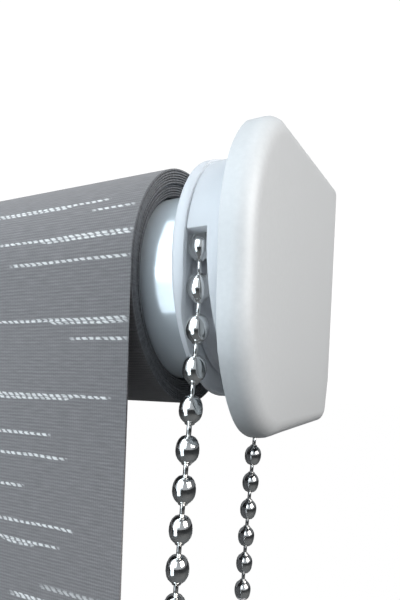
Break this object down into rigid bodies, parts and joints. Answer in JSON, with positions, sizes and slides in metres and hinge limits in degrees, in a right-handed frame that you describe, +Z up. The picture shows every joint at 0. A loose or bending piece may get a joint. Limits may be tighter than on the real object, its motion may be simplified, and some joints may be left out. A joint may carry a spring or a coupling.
{
  "type": "roller blind",
  "caption": "Wall-mounted roller blind: grey cloth off the front of the roll, aluminium tube, bead chain clutch with white guard, covered end brackets and a weighted hem bar.",
  "frame": {"origin": "back of the control bracket's wall flange, level with the roller's axis", "axes": "+X along the roller towards the chain, +Y into the wall, +Z up; the room is towards -Y"},
  "size_m": [0.4392, 0.0931, 0.373],
  "materials": {
    "fabric": "coarse woven polyester, mid grey with light slubs",
    "aluminium": "mill finish extrusion",
    "hem_aluminium": "satin anodised",
    "white_plastic": "satin moulded",
    "cover_plastic": "fine satin moulded",
    "grey_plastic": "moulded nylon",
    "zinc_steel": "zinc plated",
    "spring_steel": "oiled spring wire",
    "chain_nickel": "bright nickel plated"
  },
  "bodies": {
    "brackets": {"control_bracket": "zinc_steel", "control_bracket_screw_upper": "zinc_steel", "control_bracket_screw_lower": "zinc_steel", "idle_bracket": "zinc_steel", "idle_bracket_screw_upper": "zinc_steel", "idle_bracket_screw_lower": "zinc_steel", "control_cover": "cover_plastic", "idle_cover": "cover_plastic", "clutch_core": "grey_plastic", "clutch_screw": "zinc_steel", "guard_disc": "white_plastic", "guard_drum": "white_plastic", "idle_bush": "white_plastic", "chain_on_wheel": "chain_nickel", "chain_loop": "chain_nickel", "fabric_panel": "fabric"},
    "roller": {"roller_tube": "aluminium", "wound_fabric": "fabric", "drive_crown": "grey_plastic", "idle_plug": "grey_plastic", "idle_spring": "spring_steel"},
    "wheel": {"chain_wheel": "grey_plastic", "wrap_spring": "spring_steel"},
    "hem": {"hem_bar": "hem_aluminium", "hem_strip": "grey_plastic", "hem_cap_control": "white_plastic", "hem_cap_idle": "white_plastic"},
    "pin": {"idle_pin": "zinc_steel"},
    "connector": {"chain_connector": "white_plastic"}
  },
  "joints": [
    {"name": "tube_spin", "type": "hinge", "parent": "brackets", "child": "roller", "pos_m": [0, -0.039, 0], "axis": [-1, 0, 0], "range_deg": [0, 520]},
    {"name": "wheel_spin", "type": "hinge", "parent": "brackets", "child": "wheel", "pos_m": [0, -0.039, 0], "axis": [-1, 0, 0], "range_deg": [0, 520]},
    {"name": "hem_lift", "type": "slide", "parent": "brackets", "child": "hem", "axis": [0, 0, 1], "range_m": [0, 0.22155], "deforming": ["fabric_panel"]},
    {"name": "chain_run", "type": "slide", "parent": "brackets", "child": "connector", "axis": [0, 0, -1], "range_m": [0, 0.1782]},
    {"name": "pin_press", "type": "slide", "parent": "roller", "child": "pin", "axis": [1, 0, 0], "range_m": [0, 0.006], "stiffness_N_per_m": 400, "springref_m": -0.004, "deforming": ["idle_spring"]}
  ],
  "couplings": [
    {"joint": "wheel_spin", "follows": "tube_spin", "ratio": 1},
    {"joint": "hem_lift", "follows": "tube_spin", "m_per_rad": 0.0244},
    {"joint": "chain_run", "follows": "tube_spin", "m_per_rad": 0.019624}
  ]
}
